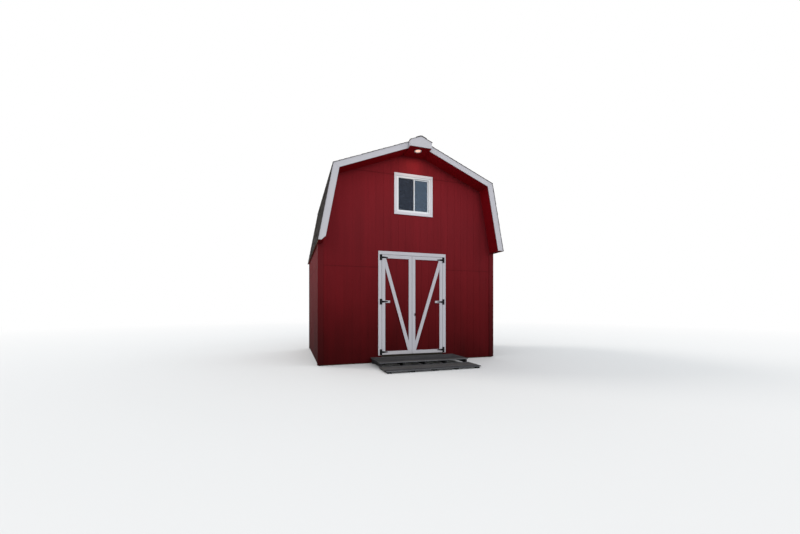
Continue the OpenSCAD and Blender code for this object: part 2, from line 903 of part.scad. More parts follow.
module window_glass() {
    in = window_frame_w + sash_gap + sash_w;
    color("#52606c", 0.5) for (i = [0, 1])
        block([sash_edges[i][0] + sash_w, sash_ys[i] + (sash_d - glass_t) / 2, window_z + in],
            [sash_edges[i][1] - sash_w, sash_ys[i] + (sash_d + glass_t) / 2, window_top - in]);
}

floor_skids();
floor_joists();
floor_deck();
front_siding_sides();
front_siding_over_door();
front_siding_beside_window();
front_siding_peak();
rear_siding();
side_siding();
corner_boards();
front_wall_frame();
door_header();
rear_wall_frame();
side_wall_frames();
gable_frames();
loft_joists();
loft_floor();
lower_rafters();
upper_rafters();
rafter_gussets();
ridge_board();
roof_sheets();
shingles();
ridge_cap();
soffits();
front_rake_boards();
rear_rake_boards();
peak_box();
peak_light();
door_casing();
door_sill();
window_trim();
window_frame();
window_glass();
landing_frame();
landing_boards();
hinge_plates();
left_door_panel();
left_door_boards();
left_door_frame();
left_door_hardware();
right_door_panel();
right_door_boards();
right_door_frame();
right_door_hardware();
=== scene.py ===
import math
import random

import bmesh
import bpy
from bpy.props import FloatProperty, FloatVectorProperty, IntProperty, PointerProperty
from mathutils import Matrix, Vector, noise


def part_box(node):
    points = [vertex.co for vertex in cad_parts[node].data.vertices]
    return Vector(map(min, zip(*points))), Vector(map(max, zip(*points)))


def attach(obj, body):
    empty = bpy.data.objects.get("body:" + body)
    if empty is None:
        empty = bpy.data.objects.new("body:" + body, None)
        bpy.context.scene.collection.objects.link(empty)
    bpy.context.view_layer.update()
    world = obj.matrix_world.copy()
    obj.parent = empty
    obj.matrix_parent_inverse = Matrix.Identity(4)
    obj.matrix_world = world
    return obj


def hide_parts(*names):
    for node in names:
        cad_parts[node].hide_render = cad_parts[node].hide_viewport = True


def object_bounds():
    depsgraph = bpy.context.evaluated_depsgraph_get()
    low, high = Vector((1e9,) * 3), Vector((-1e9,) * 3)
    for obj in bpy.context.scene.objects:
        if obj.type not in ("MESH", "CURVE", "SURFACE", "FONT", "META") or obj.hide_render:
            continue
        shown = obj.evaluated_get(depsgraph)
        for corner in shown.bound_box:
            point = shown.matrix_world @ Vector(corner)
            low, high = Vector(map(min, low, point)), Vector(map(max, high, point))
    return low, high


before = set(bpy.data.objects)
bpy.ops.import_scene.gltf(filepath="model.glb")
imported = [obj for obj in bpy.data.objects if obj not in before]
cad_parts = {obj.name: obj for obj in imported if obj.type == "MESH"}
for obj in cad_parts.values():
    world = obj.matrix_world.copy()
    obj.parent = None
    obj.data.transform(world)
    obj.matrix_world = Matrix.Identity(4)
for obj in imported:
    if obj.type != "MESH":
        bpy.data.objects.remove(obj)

bl_info = {
    "name": "Gambrel barn finish",
    "version": (1, 0, 0),
    "blender": (4, 5, 0),
    "location": "View3D > Sidebar > Barn",
    "description": "Shingles, trim, landing, hardware, window and paint for the gambrel roof barn",
    "category": "Object",
}

CAD_LOW, CAD_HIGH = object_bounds()
UP, FRONT, BACK = (0, 0, 1), (0, -1, 0), (0, 1, 0)
# Points merge below this distance, faces are flat below the first angle and edges sharp above the second
MERGE = 0.00002
FLAT, SHARP = math.radians(0.5), math.radians(30)


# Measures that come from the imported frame

def solids(node):
    """Lowest and highest corner of each separate solid of a CAD node."""
    shape = merged(node)
    left, boxes = set(shape.verts), []
    while left:
        group, edge = set(), [left.pop()]
        while edge:
            vert = edge.pop()
            group.add(vert)
            for link in vert.link_edges:
                other = link.other_vert(vert)
                if other in left:
                    left.discard(other)
                    edge.append(other)
        xs, ys, zs = zip(*(vert.co for vert in group))
        boxes.append((Vector((min(xs), min(ys), min(zs))), Vector((max(xs), max(ys), max(zs)))))
    shape.free()
    return sorted(boxes, key=lambda box: tuple(round(v, 4) for v in box[0]))


def merged(node):
    """A copy of a CAD node's mesh with its triangles joined and its flat faces whole."""
    shape = bmesh.new()
    shape.from_mesh(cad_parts[node].data)
    bmesh.ops.remove_doubles(shape, verts=shape.verts, dist=MERGE)
    flatten(shape)
    return shape


def flatten(shape):
    """Makes one face of all that lie in one plane."""
    bmesh.ops.dissolve_limit(shape, angle_limit=FLAT, verts=shape.verts, edges=shape.edges)


def roof_corners():
    """Outer corners of the roof sheets at the right, as points in X and Z.

    They are the lower sheet's foot and head, and the upper sheet's foot and its line's meeting with X = 0."""
    points = {(round(v.co.x, 5), round(v.co.z, 5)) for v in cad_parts["roof_sheets"].data.vertices}
    points = [Vector(p) for p in points if p[0] > 0]
    eave = max(points, key=lambda p: p.x)
    ridge = max(points, key=lambda p: p.y)
    chord = (ridge - eave).normalized()
    away = Vector((chord.y, -chord.x))
    foot, head = sorted(sorted(points, key=lambda p: (p - eave).dot(away))[-2:], key=lambda p: -p.y)
    apex = foot + (ridge - foot) * foot.x / (foot.x - ridge.x)
    return eave, head, foot, apex


# Shapes

def slab(shape, corner, u, v, w):
    """Adds a box with one corner at a point and three edges along u, v and w. Returns its vertices."""
    corner, u, v, w = (Vector(item) for item in (corner, u, v, w))
    if u.cross(v).dot(w) < 0:
        u, v = v, u
    place = Matrix((u, v, w)).transposed().to_4x4()
    place.translation = corner + (u + v + w) / 2
    return bmesh.ops.create_cube(shape, size=1, matrix=place)["verts"]


def board(shape, low, high):
    """Adds an upright box between two corners."""
    low, high = Vector(low), Vector(high)
    size = high - low
    return slab(shape, low, (size.x, 0, 0), (0, size.y, 0), (0, 0, size.z))


def mesh_of(name, shape):
    """Turns a shape into a mesh."""
    mesh = bpy.data.meshes.new(name)
    shape.to_mesh(mesh)
    shape.free()
    return mesh


def join(shape, part):
    """Moves all of one shape into another."""
    mesh = mesh_of("part", part)
    shape.from_mesh(mesh)
    bpy.data.meshes.remove(mesh)


def ease(shape, width):
    """Rounds the sharp edges of a shape."""
    sharp = [e for e in shape.edges if e.is_manifold and e.calc_face_angle(0) > SHARP]
    bmesh.ops.bevel(shape, geom=sharp, offset=width, offset_type="OFFSET", segments=2, profile=0.5,
                    affect="EDGES", clamp_overlap=True, material=-1)


def toned_shape():
    """An empty shape whose faces can each have a shade."""
    shape = bmesh.new()
    shape.faces.layers.float.new("tone")
    return shape


def tone(shape, faces, value):
    """Gives faces a shade between 0 and 1, which the materials read: a random tone, and on the landing planks
    also painted light and shade.
    """
    layer = shape.faces.layers.float["tone"]
    for face in faces:
        face[layer] = value


def faces_of(verts):
    return {face for vert in verts for face in vert.link_faces}


def disc(shape, centre, normal, radius, height, sides=12, tip=0.72):
    """Adds a low round head that stands on a surface."""
    normal = Vector(normal)
    turn = Vector(UP).rotation_difference(normal).to_matrix().to_4x4()
    turn.translation = Vector(centre) + normal * height / 2
    bmesh.ops.create_cone(shape, cap_ends=True, segments=sides, radius1=radius, radius2=radius * tip,
                          depth=height, matrix=turn)


def linked(name, data):
    """Puts a new object into the scene."""
    made = bpy.data.objects.new(name, data)
    bpy.context.scene.collection.objects.link(made)
    return made


def piece(name, shape, material, replaces=(), body="barn"):
    """Makes a finished piece of a shape and rides it on its body."""
    mesh = mesh_of(name, shape)
    mesh.materials.append(material)
    made = linked(name, mesh)
    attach(made, body)
    if replaces:
        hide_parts(*replaces)


def eased(name, node, width, material):
    """Makes a piece of a CAD node of the barn, with its edges rounded."""
    shape = merged(node)
    ease(shape, width)
    piece(name, shape, material, [node])


def dress(nodes, material):
    """Gives CAD nodes a material."""
    for node in nodes:
        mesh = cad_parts[node].data
        mesh.materials.clear()
        mesh.materials.append(material)


# Materials

def set_inputs(node, **values):
    """Sets a node's sockets, each named in small letters with underscores."""
    for name, value in values.items():
        node.inputs[name.replace("_", " ").title().replace("Ior", "IOR")].default_value = value


class Finish:
    """A material in the making: a Principled shader and the patterns that feed it."""

    made = {}

    def __init__(self, name, roughness, colour=(0.8, 0.8, 0.8), **sockets):
        self.material = bpy.data.materials.new(name)
        self.material.use_nodes = True
        self.tree = self.material.node_tree
        self.shader = self.tree.nodes["Principled BSDF"]
        set_inputs(self.shader, roughness=roughness, base_color=(*colour, 1), **sockets)
        self.place = self.add("ShaderNodeTexCoord").outputs["Object"]
        Finish.made[name] = self.material

    def add(self, kind, **settings):
        node = self.tree.nodes.new(kind)
        for name, value in settings.items():
            setattr(node, name, value)
        return node

    def feed(self, source, target):
        self.tree.links.new(source, target)

    def give(self, socket, value):
        """Feeds a socket, or sets it to a number or a colour."""
        if isinstance(value, bpy.types.NodeSocket):
            self.feed(value, socket)
        else:
            socket.default_value = value if isinstance(value, (int, float)) else (*value, 1)

    def stretched(self, scale):
        """Object coordinates times a scale for each axis."""
        node = self.add("ShaderNodeVectorMath", operation="MULTIPLY")
        self.feed(self.place, node.inputs[0])
        node.inputs[1].default_value = scale
        return node.outputs[0]

    def noise(self, scale, detail=4, roughness=0.55, distortion=0):
        node = self.add("ShaderNodeTexNoise")
        self.feed(self.stretched(scale), node.inputs["Vector"])
        set_inputs(node, scale=1, detail=detail, roughness=roughness, distortion=distortion)
        return node.outputs["Fac"]

    def flakes(self, scale):
        """Three patterns of cells, in which each cell has a grey of its own."""
        node = self.add("ShaderNodeTexVoronoi")
        self.feed(self.stretched(scale), node.inputs["Vector"])
        set_inputs(node, scale=1)
        return self.parts("Color", node.outputs["Color"])

    def parts(self, kind, source):
        """The three parts of a colour or a place."""
        node = self.add("ShaderNodeSeparate" + kind)
        self.feed(source, node.inputs[0])
        return node.outputs

    def tone(self):
        """The shade that the mesh gives each face."""
        return self.add("ShaderNodeAttribute", attribute_name="tone").outputs["Fac"]

    def height_above_ground(self, low, high):
        """0 at the lower height and 1 at the upper one."""
        node = self.add("ShaderNodeMapRange")
        self.feed(self.parts("XYZ", self.place)["Z"], node.inputs["Value"])
        set_inputs(node, from_min=low, from_max=high)
        return node.outputs[0]

    def within(self, wide, deep):
        """1 nearer to the middle than two distances along X and Y, else 0."""
        place = self.parts("XYZ", self.place)
        beside, behind = (self.math("LESS_THAN", self.math("ABSOLUTE", place[axis], 0.0), limit)
                          for axis, limit in (("X", wide), ("Y", deep)))
        return self.math("MULTIPLY", beside, behind)

    def lines(self, start, pitch, width):
        """1 on level lines that repeat up a wall, else 0."""
        rise = self.math("SUBTRACT", self.parts("XYZ", self.place)["Z"], start - width / 2)
        return self.math("LESS_THAN", self.math("MODULO", rise, pitch), width)

    def math(self, operation, a, b):
        node = self.add("ShaderNodeMath", operation=operation)
        for socket, value in zip(node.inputs, (a, b)):
            self.give(socket, value)
        return node.outputs[0]

    def ramp(self, fac, *stops):
        """Colours or greys along a factor, as (position, value) pairs."""
        node = self.add("ShaderNodeValToRGB")
        while len(node.color_ramp.elements) < len(stops):
            node.color_ramp.elements.new(0.5)
        for element, (position, value) in zip(node.color_ramp.elements, stops):
            element.position = position
            element.color = (value, value, value, 1) if isinstance(value, (int, float)) else (*value, 1)
        self.feed(fac, node.inputs[0])
        return node.outputs[0]

    def mix(self, fac, a, b, mode="MIX"):
        node = self.add("ShaderNodeMix", data_type="RGBA", blend_type=mode)
        ends = [socket for socket in node.inputs if socket.type == "RGBA"]
        for socket, value in zip((node.inputs[0], *ends), (fac, a, b)):
            self.give(socket, value)
        return next(socket for socket in node.outputs if socket.type == "RGBA")

    def coats(self, tint, *coats):
        """Lays colours over a tint, each where a pattern is high.

        A coat is its pattern, the values at which it starts and is full, its share there and its colour."""
        for pattern, start, full, share, colour in coats:
            tint = self.mix(self.ramp(pattern, (start, 0.0), (full, share)), tint, colour)
        return tint

    def dim(self, tint, pattern, *stops):
        """Darkens a tint by a pattern, from (position, brightness) pairs."""
        return self.mix(1.0, tint, self.ramp(pattern, *stops), "MULTIPLY")

    def colour(self, source):
        self.feed(source, self.shader.inputs["Base Color"])

    def rough(self, pattern, *stops):
        self.feed(self.ramp(pattern, *stops), self.shader.inputs["Roughness"])

    def relief(self, *layers):
        """Bumps from (pattern, depth in metres) pairs. Returns the finished material."""
        normal = None
        for source, depth in layers:
            node = self.add("ShaderNodeBump")
            set_inputs(node, distance=depth, strength=1.0)
            self.feed(source, node.inputs["Height"])
            if normal is not None:
                self.feed(normal, node.inputs["Normal"])
            normal = node.outputs[0]
        self.feed(normal, self.shader.inputs["Normal"])
        return self.material


def shade(colour, factor):
    return tuple(min(1.0, max(0.0, value * factor)) for value in colour)


def along(axis, fine, coarse):
    """A scale that is coarse along one axis and fine across it."""
    return tuple(coarse if name == axis else fine for name in "xyz")


def dirt_and_painted_shade_by_height(made, colour, wobble):
    """A paint's colour by height: darker at the foot of a wall, with splashed dirt and painted shade, and
    paler at its top with painted light.
    """
    top, uneven = 5.2, 0.1
    height = made.math("ADD", made.height_above_ground(0.0, top), made.math("MULTIPLY", wobble, uneven))
    # Share of the height, brightness, and a factor for the green and the blue: painted shade low and painted
    # light high
    steps = ((0.05, 0.22, 0.6), (0.13, 0.34, 0.8), (0.3, 0.58, 1.0), (0.5, 0.89, 1.3), (0.72, 1.14, 1.5),
             (0.95, 1.4, 1.45))
    red, green, blue = colour
    return made.ramp(height, *((at, shade((red, green * pale, blue * pale), factor))
                               for at, factor, pale in steps))


def rough_sawn_paint(name, colour, axis="z", bare=None, sheet=None):
    """Matt paint on rough sawn plywood, darker towards the ground and paler towards the top with dirt and
    painted shade and light.

    The inner faces can stay bare, in another colour, and dirt with painted shade can mark the joints between
    sheets."""
    made = Finish(name, 0.78, specular_ior_level=0.07)
    fibre = made.noise(along(axis, 260, 7), detail=5, roughness=0.65)
    broad = made.noise(along(axis, 5, 0.45))
    cloud = made.noise((0.55, 0.55, 0.4), detail=3)
    # Colour by height: dirt and painted shade at the foot, painted light at the top
    tint = made.dim(dirt_and_painted_shade_by_height(made, colour, cloud), broad, (0.3, 0.82), (0.72, 1.0))
    tint = made.dim(tint, fibre, (0.25, 1.0), (0.75, 0.84))
    tint = made.coats(tint, (cloud, 0.35, 0.75, 0.22, shade(colour, 1.2)))
    low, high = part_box("side_siding")
    if sheet:
        # Dark bands along the sheet joints: dirt and painted shade of the joints
        joint_width, share = 0.028, 0.24
        dirt = made.math("MULTIPLY", made.lines(low.z, sheet, joint_width), share)
        tint = made.mix(dirt, tint, shade(colour, 0.2))
    if bare:
        margin = 0.001
        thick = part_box("front_siding_over_door")[1].y - low.y
        plain = made.coats(shade(bare, 0.72), (broad, 0.3, 0.75, 1.0, bare),
                           (fibre, 0.5, 0.8, 0.4, shade(bare, 0.5)))
        tint = made.mix(made.within(high.x - thick + margin, high.y - thick + margin), tint, plain)
    made.colour(tint)
    made.rough(broad, (0.2, 0.68), (0.8, 0.84))
    return made.relief((fibre, 0.0011), (broad, 0.002))


def smooth_paint(name, colour):
    """Matt paint on smooth boards, darker towards the ground and paler towards the top, with dirt and painted
    shade and light.
    """
    made = Finish(name, 0.66, specular_ior_level=0.08)
    grain = made.noise(along("z", 150, 4))
    cloud = made.noise((1.1, 1.1, 0.7))
    # Colour by height: dirt and painted shade at the foot, painted light at the top
    tint = made.dim(dirt_and_painted_shade_by_height(made, colour, cloud), cloud, (0.3, 0.85), (0.75, 1.0))
    made.colour(made.dim(tint, grain, (0.5, 1.0), (0.8, 0.9)))
    made.rough(cloud, (0.3, 0.58), (0.7, 0.72))
    return made.relief((grain, 0.0005), (cloud, 0.001))


def trim_paint(name, colour, axis="z"):
    """White paint on smooth boards, a little dirty at the foot."""
    made = Finish(name, 0.5, specular_ior_level=0.3)
    grain = made.noise(along(axis, 150, 5))
    cloud = made.noise((2.1, 2.1, 1.6))
    speck = made.noise((34, 34, 21), detail=6, roughness=0.7)
    tint = made.coats(colour, (cloud, 0.3, 0.75, 0.6, shade(colour, 0.93)),
                      (grain, 0.55, 0.85, 0.3, shade(colour, 0.84)),
                      (speck, 0.66, 0.76, 0.3, (0.30, 0.27, 0.23)))
    dirt = made.math("ADD", made.height_above_ground(0.02, 0.6), made.math("MULTIPLY", speck, 0.5))
    made.colour(made.mix(made.ramp(dirt, (0.25, 0.5), (0.8, 0.0)), tint, (0.24, 0.20, 0.16)))
    made.rough(cloud, (0.3, 0.42), (0.7, 0.56))
    return made.relief((grain, 0.0005), (cloud, 0.001))


def bare_wood(name, colour, axis):
    """Bare softwood with its grain along one axis."""
    made = Finish(name, 0.66, specular_ior_level=0.3)
    rings = made.noise(along(axis, 26, 0.9), detail=3, distortion=0.8)
    fibre = made.noise(along(axis, 330, 6), roughness=0.6)
    lump = made.noise((1.4, 1.4, 1.4), detail=2)
    dark = made.ramp(rings, (0.36, 0.0), (0.5, 0.55), (0.58, 0.1), (0.68, 0.6))
    tint = made.mix(dark, shade(colour, 1.06), shade(colour, 0.66))
    made.colour(made.coats(tint, (fibre, 0.45, 0.8, 0.4, shade(colour, 0.55)),
                           (lump, 0.3, 0.7, 0.4, shade(colour, 0.82))))
    return made.relief((rings, 0.0007), (fibre, 0.0005))


def strand_board(name, colour):
    """Structural board pressed from flat strands of wood."""
    made = Finish(name, 0.7, specular_ior_level=0.3)
    strands = made.flakes((34, 70, 52))[0]
    chips = made.flakes((90, 55, 80))[1]
    tint = made.ramp(strands, (0.0, shade(colour, 0.7)), (0.45, colour), (1.0, shade(colour, 1.3)))
    small = made.ramp(chips, (0.0, shade(colour, 0.55)), (1.0, shade(colour, 1.25)))
    made.colour(made.mix(0.4, tint, small))
    return made.relief((strands, 0.0006))


def weathered_planks(name, colour):
    """Old outdoor planks: grey, cracked along the grain, each with its own shade, paler on their fronts with
    painted light and dark on their backs with painted shade.
    """
    made = Finish(name, 0.86, specular_ior_level=0.2)
    fibre = made.noise(along("x", 210, 3.2), detail=6, roughness=0.72)
    bands = made.noise(along("x", 28, 0.8), distortion=0.7)
    streaks = made.noise(along("x", 75, 1.3), detail=5, roughness=0.6, distortion=0.4)
    moss = made.noise((3.4, 3.4, 3.4), detail=5, roughness=0.65)
    red, green, blue = colour
    brown = (red * 1.12, green * 0.99, blue * 0.86)
    # Tone 0 is the painted shade of the planks' back faces, the top stops the painted light of their front
    # faces
    tint = made.ramp(made.tone(), (0.0, shade(colour, 0.35)), (0.25, shade(colour, 0.75)),
                     (0.45, shade(brown, 1.1)), (0.65, shade(colour, 1.35)), (1.0, shade(colour, 3.0)))
    tint = made.dim(tint, bands, (0.32, 0.6), (0.72, 1.0))
    made.colour(made.coats(tint, (streaks, 0.5, 0.7, 0.55, shade(colour, 2.6)),
                           (fibre, 0.5, 0.72, 0.75, shade(colour, 0.26)),
                           (moss, 0.55, 0.75, 0.4, (0.055, 0.058, 0.035))))
    return made.relief((fibre, 0.0016), (bands, 0.0022))


def granules(name, colour):
    """Asphalt shingle with mineral granules, each tab with its own shade."""
    made = Finish(name, 0.92, specular_ior_level=0.2)
    pale, dark, height = made.flakes((420, 420, 420))
    blend = made.noise((9, 9, 9), roughness=0.6)
    streak = made.noise((0.9, 0.9, 0.35), detail=3)
    red, green, blue = colour
    brown = (red * 1.15, green, blue * 0.9)
    tint = made.ramp(made.tone(), (0.0, shade(colour, 0.55)), (0.5, colour), (0.8, shade(brown, 1.35)),
                     (1.0, shade(colour, 1.75)))
    made.colour(made.coats(tint, (blend, 0.4, 0.62, 0.55, shade(colour, 0.6)),
                           (pale, 0.55, 1.0, 0.75, shade(colour, 2.6)),
                           (dark, 0.6, 1.0, 0.6, shade(colour, 0.3)),
                           (streak, 0.4, 0.75, 0.35, shade(colour, 1.5))))
    return made.relief((height, 0.0012))


def coated_iron(name, colour):
    """Black powder coat with a fine texture and some dust."""
    made = Finish(name, 0.5, specular_ior_level=0.12)
    peel = made.noise((420, 420, 420), detail=3)
    dust = made.noise((16, 16, 9), detail=5, roughness=0.7)
    made.colour(made.coats(colour, (dust, 0.55, 0.85, 0.15, (0.03, 0.028, 0.026))))
    made.rough(dust, (0.35, 0.36), (0.7, 0.6))
    return made.relief((peel, 0.0003))


def vinyl(name, colour):
    """Smooth white extrusion with a faint film of dirt."""
    made = Finish(name, 0.34, specular_ior_level=0.45)
    film = made.noise((7, 7, 5), detail=5, roughness=0.65)
    made.colour(made.coats(colour, (film, 0.42, 0.75, 0.3, shade(colour, 0.74))))
    made.rough(film, (0.3, 0.28), (0.7, 0.46))
    return made.relief((film, 0.0004))


def window_pane(name, colour):
    """Clear glass with a slight tint and a faint wave."""
    made = Finish(name, 0.03, colour, transmission_weight=1.0, ior=1.8, specular_tint=(0.61, 0.80, 1.0, 1.0))
    return made.relief((made.noise((1.3, 1.3, 0.8), detail=0), 0.0003))


def screen_cloth(name, colour):
    """Dark woven screen, seen as a haze with its wires in it."""
    made = Finish(name, 0.7, colour, alpha=0.5, specular_ior_level=0.1)
    weave = made.noise((45, 45, 45), detail=2)
    made.colour(made.coats(colour, (weave, 0.35, 0.7, 0.5, shade(colour, 1.5))))
    return made.material


def lit_lens(name, colour, strength):
    """Frosted lens with the lamp on behind it."""
    made = Finish(name, 0.4, colour, emission_strength=strength)
    frost = made.noise((240, 240, 240), detail=3)
    glow = made.coats(colour, (frost, 0.3, 0.8, 0.3, shade(colour, 0.93)))
    made.feed(glow, made.shader.inputs["Emission Color"])
    return made.relief((frost, 0.0003))


# Sizes and colours

def metres(name, description, default, low, high):
    return FloatProperty(name=name, description=description, default=default, min=low, max=high,
                         unit="LENGTH")


def colour_property(name, description, default):
    return FloatVectorProperty(name=name, description=description, default=default,
                               subtype="COLOR", size=3, min=0.0, max=1.0)


class BarnSizes(bpy.types.PropertyGroup):
    """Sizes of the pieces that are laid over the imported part"""

    board_edge: metres("Board edge", "Radius on the edges of the painted boards", 0.003, 0.0005, 0.008)
    exposure: metres("Shingle exposure", "Height of shingle that each course shows", 0.143, 0.12, 0.16)
    butt: metres("Shingle butt", "Height of a course's lower edge over the roof sheets", 0.0102, 0.008, 0.014)
    head: metres("Shingle head", "Height of a course's upper edge over the roof sheets", 0.0042, 0.003, 0.006)
    ply: metres("Shingle ply", "Thickness of one layer of shingle", 0.0034, 0.002, 0.005)
    overhang: metres(
        "Shingle overhang", "How far the shingles stand past the eave and the rakes", 0.012, 0.0, 0.02)
    screw: metres("Screw head", "Radius of the screw heads in the landing", 0.0045, 0.003, 0.007)
    bolt: metres("Hinge screw head", "Radius of the screw heads in the hinges", 0.0055, 0.004, 0.008)
    nail: metres("Nail head", "Radius of the nail heads in the siding and the trim", 0.0042, 0.002, 0.006)
    nail_rise: metres(
        "Nail spacing", "Distance between nails along a board or up the siding", 0.305, 0.15, 0.61)
    nail_edge: metres(
        "Nail to edge", "Distance of the first nail from the end of a board or a sheet", 0.06, 0.03, 0.1)
    nail_roof: metres(
        "Nail to roof", "Distance of the siding's top nails from the face of the roof sheets",
        0.19, 0.15, 0.3)
    nail_sway: metres("Nail sway", "How far a nail may lie off its line", 0.006, 0.0, 0.015)
    groove: metres("Groove pitch", "Distance between the grooves of the siding", 0.2032, 0.15, 0.305)
    sheet: metres("Siding sheet", "Height of a sheet of siding, from joint to joint", 2.438, 2.3, 2.5)
    corner: metres("Corner board", "Width of the corner boards", 0.14, 0.1, 0.15)
    seed: IntProperty(
        name="Seed", description="Start of the random order of shingles and boards", default=11, min=0)


class BarnColours(bpy.types.PropertyGroup):
    """Colours of the barn's finishes"""

    siding: colour_property("Siding", "Red paint on the walls, doors and soffits", (0.150, 0.0070, 0.0100))
    trim: colour_property("Trim", "White paint on the boards", (0.465, 0.458, 0.490))
    lumber: colour_property("Lumber", "Bare framing lumber", (0.50, 0.33, 0.17))
    board: colour_property("Sheet board", "Bare sheets of the floors and the roof", (0.42, 0.27, 0.13))
    treated: colour_property(
        "Treated lumber", "Skids, floor joists and the landing's frame", (0.13, 0.11, 0.07))
    plank: colour_property("Landing planks", "Weathered planks of the landing", (0.056, 0.057, 0.061))
    shingle: colour_property("Shingles", "Middle shade of the shingles", (0.040, 0.034, 0.032))
    iron: colour_property("Hardware", "Black coat of the hinges and the handle", (0.005, 0.005, 0.006))
    vinyl: colour_property("Window frame", "White window frame", (0.70, 0.72, 0.74))
    glass: colour_property("Glass", "Tint of the window glass", (0.46, 0.60, 0.80))
    screen: colour_property("Insect screen", "Dark screen in front of the left pane", (0.034, 0.041, 0.058))
    lamp: colour_property("Lamp", "Warm light of the lamp in the peak", (1.0, 0.61, 0.47))


def sizes():
    return bpy.context.scene.barn_sizes


def colours():
    return bpy.context.scene.barn_colours


def painted(axis, share):
    """White paint with its grain along one axis and a share of the trim's brightness: above 1 it is painted
    light, below 1 painted shade.
    """
    name = "white_paint_%s_%.2f" % (axis, share)
    return Finish.made.get(name) or trim_paint(name, shade(colours().trim, share), axis)


def iron():
    return Finish.made.get("black_iron_coat") or coated_iron("black_iron_coat", colours().iron)


# Operators

class BARN_OT_paint_siding(bpy.types.Operator):
    """Paint the siding, the door panels and the soffits red"""

    bl_idname = "barn.paint_siding"
    bl_label = "Paint siding"

    def execute(self, context):
        paint = colours()
        red, green, blue = paint.siding
        dress(["front_siding_sides", "front_siding_over_door", "front_siding_beside_window",
               "front_siding_peak", "rear_siding", "side_siding"],
              rough_sawn_paint("red_siding_paint", paint.siding, bare=paint.board, sheet=sizes().sheet))
        dress(["left_door_panel", "right_door_panel"],
              rough_sawn_paint("red_door_paint", paint.siding, bare=paint.board))
        # Soffit red, brighter and deeper than the walls' red: painted bounce light under the overhangs
        soffit_red_painted_light = (red * 1.4, green * 0.3, blue * 0.5)
        dress(["soffits"], rough_sawn_paint("soffit_red_paint_painted_light", soffit_red_painted_light, "y"))
        return {"FINISHED"}


class BARN_OT_ease_trim(bpy.types.Operator):
    """Lay the painted boards of the corners, rakes, peak, doorway and window with eased edges"""

    bl_idname = "barn.ease_trim"
    bl_label = "Lay trim boards"

    # Each piece: its node, the axis that its grain follows and its share of the trim's brightness, painted
    # light on the window casing and painted shade on the doorway casing
    boards = {
        "front_rakes": ("front_rake_boards", "x", 1.0),
        "rear_rakes": ("rear_rake_boards", "x", 1.0),
        "peak_front": ("peak_box", "x", 1.0),
        "doorway_casing": ("door_casing", "z", 0.95),
        "window_casing": ("window_trim", "z", 1.25),
    }

    def execute(self, context):
        edge = sizes().board_edge
        for name, (node, axis, share) in self.boards.items():
            eased(name, node, edge, painted(axis, share))
        # Corner boards in a darker copy of the siding red: painted shade
        red = smooth_paint("smooth_red_paint_painted_shade", shade(colours().siding, 0.82))
        eased("corner_trim", "corner_boards", edge, red)
        return {"FINISHED"}


class BARN_OT_board_doors(bpy.types.Operator):
    """Build the white boards of both doors as stiles, rails, a brace and a hinge block"""

    bl_idname = "barn.board_doors"
    bl_label = "Board the doors"

    # Half of the gap between two boards
    fit = 0.0002

    def execute(self, context):
        for side in ("left_door", "right_door"):
            node = side + "_boards"
            points = [vert.co for vert in merged(node).verts]
            xs = sorted({round(p.x, 4) for p in points})
            zs = sorted({round(p.z, 4) for p in points})
            left, right, bottom, top = xs[1], xs[-2], zs[1], zs[-2]
            between = ((left, (-1, 0, 0)), (right, (1, 0, 0)))
            shape = bmesh.new()
            self.board(shape, node, (left, (1, 0, 0)))
            self.board(shape, node, (right, (-1, 0, 0)))
            self.board(shape, node, *between, (bottom, (0, 0, 1)))
            self.board(shape, node, *between, (top, (0, 0, -1)))
            self.board(shape, node, *between, (bottom, (0, 0, -1)), (top, (0, 0, 1)))
            # Door boards dimmed to 0.92 of the trim's white: painted shade
            piece(side + "_trim", shape, painted("z", 0.92), [node], body=side)
        return {"FINISHED"}

    def board(self, shape, node, *cuts):
        """Adds what lies behind some cuts, each a place and the direction to clear away."""
        part = merged(node)
        for at, clear in cuts:
            clear = Vector(clear)
            edge = Vector((at, 0, at)) - clear * self.fit
            found = bmesh.ops.bisect_plane(part, geom=part.verts[:] + part.edges[:] + part.faces[:],
                                           plane_co=edge, plane_no=clear, clear_outer=True)
            rim = [item for item in found["geom_cut"] if isinstance(item, bmesh.types.BMEdge)]
            bmesh.ops.holes_fill(part, edges=rim)
        flatten(part)
        ease(part, sizes().board_edge)
        join(shape, part)


class BARN_OT_finish_framing(bpy.types.Operator):
    """Give the framing, the floors and the roof sheets their wood"""

    bl_idname = "barn.finish_framing"
    bl_label = "Finish framing"

    def execute(self, context):
        paint = colours()
        for name, colour, axis, nodes in (
                ("stud_wood", paint.lumber, "z", ("front_wall_frame", "rear_wall_frame", "side_wall_frames",
                                                  "gable_frames", "left_door_frame", "right_door_frame")),
                ("joist_wood", paint.lumber, "x", ("door_header", "loft_joists", "upper_rafters")),
                ("rafter_wood", shade(paint.lumber, 0.95), "z", ("lower_rafters",)),
                ("ridge_wood", paint.lumber, "y", ("ridge_board",)),
                ("skid_wood", shade(paint.treated, 0.6), "x", ("floor_skids",)),
                # The sill is near black: painted shade under the doors
                ("sill_wood_painted_shade", shade(paint.treated, 0.12), "x", ("door_sill",)),
                ("treated_wood", paint.treated, "y", ("floor_joists",))):
            dress(nodes, bare_wood(name, colour, axis))
        dress(["floor_deck", "loft_floor", "roof_sheets", "rafter_gussets"],
              strand_board("strand_board", paint.board))
        return {"FINISHED"}


